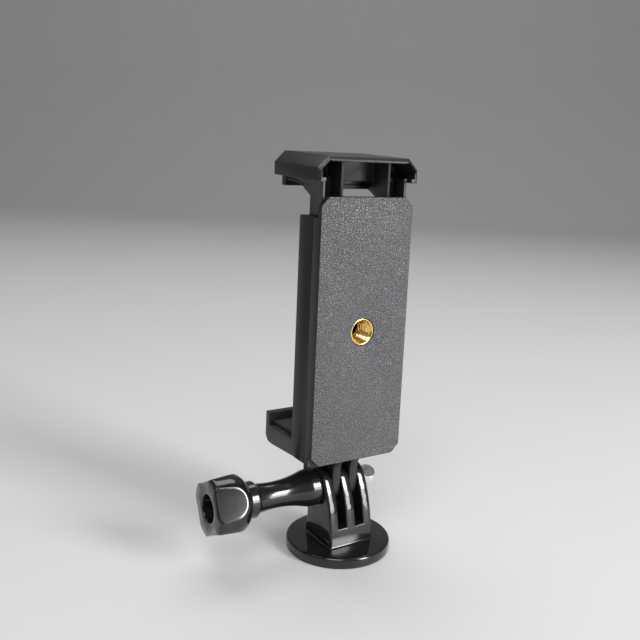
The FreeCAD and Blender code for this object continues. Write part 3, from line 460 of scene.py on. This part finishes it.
def soft_least(one, other, blend):
    """The smaller of two lengths, with the corner between them rounded."""
    share = max(0.0, min(1.0, 0.5 + 0.5 * (other - one) / blend))
    return other * (1 - share) + one * share - blend * share * (1 - share)


def arc_point(start, end, radius, at):
    """Height at a place along an arc from start to end; a positive radius bulges outwards."""
    middle = (start + end) / 2
    chord = end - start
    reach = math.sqrt(radius ** 2 - (chord.length / 2) ** 2)
    across = Vector((-chord.y, chord.x)).normalized()
    if across.y > 0:
        across = -across
    centre = middle + across * reach * (1 if radius > 0 else -1)
    rise = math.sqrt(max(radius ** 2 - (at - centre.x) ** 2, 0.0))
    return centre.y + rise if radius > 0 else centre.y - rise


# The knob's outline from the fingers outwards: place along the axis from its inner face and
# radius, in millimetres, and the radius of the arc to the next point, or none for a straight.
KNOB_OUTLINE = [
    (0.0, 5.2, None), (0.4, 5.6, None), (3.0, 5.6, None), (4.2, 5.4, -34.0),
    (20.4, 4.45, None), (20.9, 5.35, None), (23.8, 5.35, None), (24.3, 6.8, 7.0),
    (29.5, 9.15, None), (34.4, 9.2, None), (35.1, 8.5, None),
]
KNOB_LENGTH = 35.1
HEAD_START = 24.0
KNOB_ROUNDING = 0.35
FLAT_RADIUS = 40.0
FLAT_FLOOR = 7.3
FLAT_SLOPE = math.tan(math.radians(5.0))
FLAT_TURN = math.radians(27)
END_HOLE = (4.0, 7.0)
ROD_RADIUS = 2.0


def knob_radius(along):
    """Radius of the turned knob at a place along its axis."""
    for (start, low, radius), (end, high, _) in zip(KNOB_OUTLINE, KNOB_OUTLINE[1:]):
        if along <= end:
            if radius is None:
                return low + (high - low) * (along - start) / (end - start)
            return arc_point(Vector((start, low)), Vector((end, high)), radius, along)
    return KNOB_OUTLINE[-1][1]


def flat_distance(along, angle):
    """Distance from the axis to the nearest dished flat, in a direction round the axis."""
    off = (angle - FLAT_TURN + math.pi / 4) % (math.pi / 2) - math.pi / 4
    reach = FLAT_FLOOR + FLAT_SLOPE * (KNOB_LENGTH - along) + FLAT_RADIUS
    return reach * math.cos(off) - math.sqrt(FLAT_RADIUS ** 2 - (reach * math.sin(off)) ** 2)


def knob_mesh(shape):
    """The glossy knob: turned form, rounded everywhere, with four dished flats in its head."""
    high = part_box("thumb_knob")[1]
    axis_y, axis_z = HINGE_LINE
    turns = 240
    step = 0.18
    inset = 0.25
    edge_blend = 0.3
    count = round(KNOB_LENGTH / step)
    stations = [KNOB_LENGTH * number / count for number in range(count + 1)]
    window = [KNOB_ROUNDING * (part / 4) for part in range(-4, 5)]
    eased = []
    for station in stations:
        inside = [min(max(station + part, 0.0), KNOB_LENGTH) for part in window]
        eased.append(sum(knob_radius(place) for place in inside) / len(inside))
    eased[0] = eased[1] - inset
    eased[-1] = eased[-2] - inset

    def ring(station, radii):
        verts = []
        for k in range(turns):
            angle = math.tau * k / turns
            verts.append(shape.verts.new((high.x - station * MM,
                                          axis_y - radii[k] * MM * math.cos(angle),
                                          axis_z + radii[k] * MM * math.sin(angle))))
        return verts

    rings = [ring(0.0, [ROD_RADIUS] * turns)]
    for station, turned in zip(stations, eased):
        radii = []
        for k in range(turns):
            flat = flat_distance(station, math.tau * k / turns)
            radii.append(soft_least(turned, flat, edge_blend) if station > HEAD_START
                         else turned)
        rings.append(ring(station, radii))
    hole, depth = END_HOLE
    for station, radius in ((KNOB_LENGTH, hole + 0.3), (KNOB_LENGTH - 0.1, hole + 0.08),
                            (KNOB_LENGTH - 0.35, hole), (KNOB_LENGTH - depth + 0.4, hole),
                            (KNOB_LENGTH - depth, hole - 0.4), (KNOB_LENGTH - depth, 0.01)):
        rings.append(ring(station, [radius] * turns))
    join_rings(shape, rings)
    shape.faces.new(rings[-1])


def nut_mesh(shape):
    """The chrome cap nut: hexagon with turned-off corners, and a polished dome."""
    low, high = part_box("cap_nut")
    turns, dome_steps = 120, 24
    half = (high.y - low.y) / 2
    corner = half / math.cos(math.pi / 6)
    hex_end = low.x + NUT_HEXAGON
    flats_end = hex_end - 0.1 * MM
    outline = [(low.x, corner - 0.4 * MM), (low.x + 0.35 * MM, corner),
               (hex_end - 0.45 * MM, corner), (flats_end, half),
               (hex_end, half - 0.08 * MM), (hex_end, NUT_DOME + 0.05 * MM),
               (hex_end + 0.05 * MM, NUT_DOME)]
    centre = high.x - NUT_DOME
    for part in range(dome_steps):
        angle = math.pi / 2 * part / dome_steps
        outline.append((centre + NUT_DOME * math.sin(angle), NUT_DOME * math.cos(angle)))
    outline.append((high.x - 0.001 * MM, 0.1 * MM))
    rings = []
    for place, radius in outline:
        radii = [radius] * turns
        if place <= flats_end:
            for k in range(turns):
                off = (math.tau * k / turns + math.pi / 6) % (math.pi / 3) - math.pi / 6
                radii[k] = min(radius, half / math.cos(off))
        rings.append(ring_about_hinge(shape, place, radii))
    join_rings(shape, rings)
    close_ends(shape, rings)


def rod_mesh(shape):
    """The clamping screw: plain shank, fine thread where the nut sits, chamfered ends."""
    low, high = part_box("thumb_screw")
    full = (high.y - low.y) / 2
    turns, rows_per_pitch = 48, 8
    end_chamfer, start_chamfer = 0.5 * MM, 0.3 * MM
    count = round((high.x - low.x) / (ROD_PITCH / rows_per_pitch))
    rings = []
    for number in range(count + 1):
        place = low.x + (high.x - low.x) * number / count
        radii = []
        for k in range(turns):
            radius = full
            if place > high.x - ROD_THREADED:
                phase = (place / ROD_PITCH + k / turns) % 1.0
                radius = full - ROD_THREAD_DEPTH * abs(phase - 0.5) * 2
            radii.append(min(radius, full - end_chamfer + (high.x - place),
                             full - start_chamfer + (place - low.x)))
        rings.append(ring_about_hinge(shape, place, radii))
    join_rings(shape, rings)
    close_ends(shape, rings)


def sharpen_lower_edge(shape):
    """Takes the small bevel off the housing's lower side edges, where the jaw has none."""
    near = 0.01 * MM
    for vert in shape.verts:
        if (CLIP_HALF - EDGE_REACH < abs(vert.co.x) < CLIP_HALF + near
                and CLIP_FLOOR - near < vert.co.z < CLIP_FLOOR + EDGE_REACH
                and vert.co.y < EDGE_FRONT):
            vert.co.x = math.copysign(CLIP_HALF, vert.co.x)
            vert.co.z = CLIP_FLOOR


def make_floor():
    """A plain pale floor that sweeps up behind the object."""
    material, nodes, links, shader = new_material("floor")
    place = place_of(nodes, links)
    cloud = noise(nodes, links, place, 0.02, 2.0)
    links.new(tint(nodes, links, cloud, (0.61, 0.61, 0.61), (0.63, 0.63, 0.63)),
              shader.inputs["Base Color"])
    shader.inputs["Roughness"].default_value = 0.6
    mesh = bpy.data.meshes.new("floor")
    shape = bmesh.new()
    front, back, bend, top, half = -2.5, 1.1, 0.9, 3.0, 3.0
    steps = 32
    sweep = [(front, 0.0), (back, 0.0)]
    for part in range(1, steps + 1):
        angle = math.pi / 2 * part / steps
        sweep.append((back + bend * math.sin(angle), bend - bend * math.cos(angle)))
    sweep.append((back + bend, top))
    ahead = Vector((math.sin(CAMERA_YAW), math.cos(CAMERA_YAW), 0.0))
    side = Vector((ahead.y, -ahead.x, 0.0))
    rows = [[shape.verts.new(ahead * reach + side * wide + Vector((0, 0, rise)))
             for wide in (-half, half)] for reach, rise in sweep]
    for one, other in zip(rows, rows[1:]):
        shape.faces.new((one[0], one[1], other[1], other[0]))
    shape.to_mesh(mesh)
    shape.free()
    mesh.shade_smooth()
    mesh.materials.append(material)
    floor = bpy.data.objects.new("floor", mesh)
    bpy.context.scene.collection.objects.link(floor)


def make_lamp(name, place, aim, size, power):
    """A soft rectangular lamp."""
    data = bpy.data.lights.new(name, "AREA")
    data.shape = "RECTANGLE"
    data.size, data.size_y = size
    data.energy = power
    lamp = bpy.data.objects.new(name, data)
    lamp.location = place
    lamp.rotation_euler = (Vector(aim) - Vector(place)).to_track_quat("-Z", "Y").to_euler()
    bpy.context.scene.collection.objects.link(lamp)


def make_light():
    """Soft studio light and a pale surround."""
    world = bpy.data.worlds.new("studio")
    world.use_nodes = True
    bpy.context.scene.world = world
    background = world.node_tree.nodes["Background"]
    background.inputs["Color"].default_value = (0.80, 0.80, 0.81, 1.0)
    background.inputs["Strength"].default_value = 0.27
    target = (0.0, 0.0, 0.05)
    make_lamp("window", (0.36, -0.74, 0.44), target, (0.26, 0.34), 5.8)
    make_lamp("haze", (0.42, -0.86, 0.26), target, (0.32, 0.48), 4.9)
    make_lamp("key", (-0.35, -0.45, 0.80), target, (0.45, 0.45), 3.4)
    make_lamp("over", (0.15, 0.35, 0.90), target, (0.8, 0.5), 3.6)


make_camera()
finish_cad_nodes()
make_inserts()
for word in ("right", "left"):
    spring = "spring_" + word
    mesh_piece(spring + "_coil", lambda shape, node=spring: helix_spring(shape, node),
               "steel", "clip", spring)
for node, width, body in (("tripod_base", 0.30, "base"),
                          ("front_housing", 0.28, "clip"), ("rear_cover", 0.28, "clip"),
                          ("lower_jaw_pad", 0.30, "clip"), ("back_pad", 0.20, "clip"),
                          ("upper_jaw", 0.22, "jaw"), ("upper_jaw_pad", 0.30, "jaw")):
    rounded_piece(node, width, body)
mesh_piece("knob_turned", knob_mesh, "base_plastic", "knob", "thumb_knob")
mesh_piece("screw_threaded", rod_mesh, "steel", "knob", "thumb_screw")
mesh_piece("nut_domed", nut_mesh, "chrome", "base", "cap_nut")
make_floor()
make_light()

scene = bpy.context.scene
scene.view_settings.view_transform = "Standard"
bpy.context.view_layer.update()
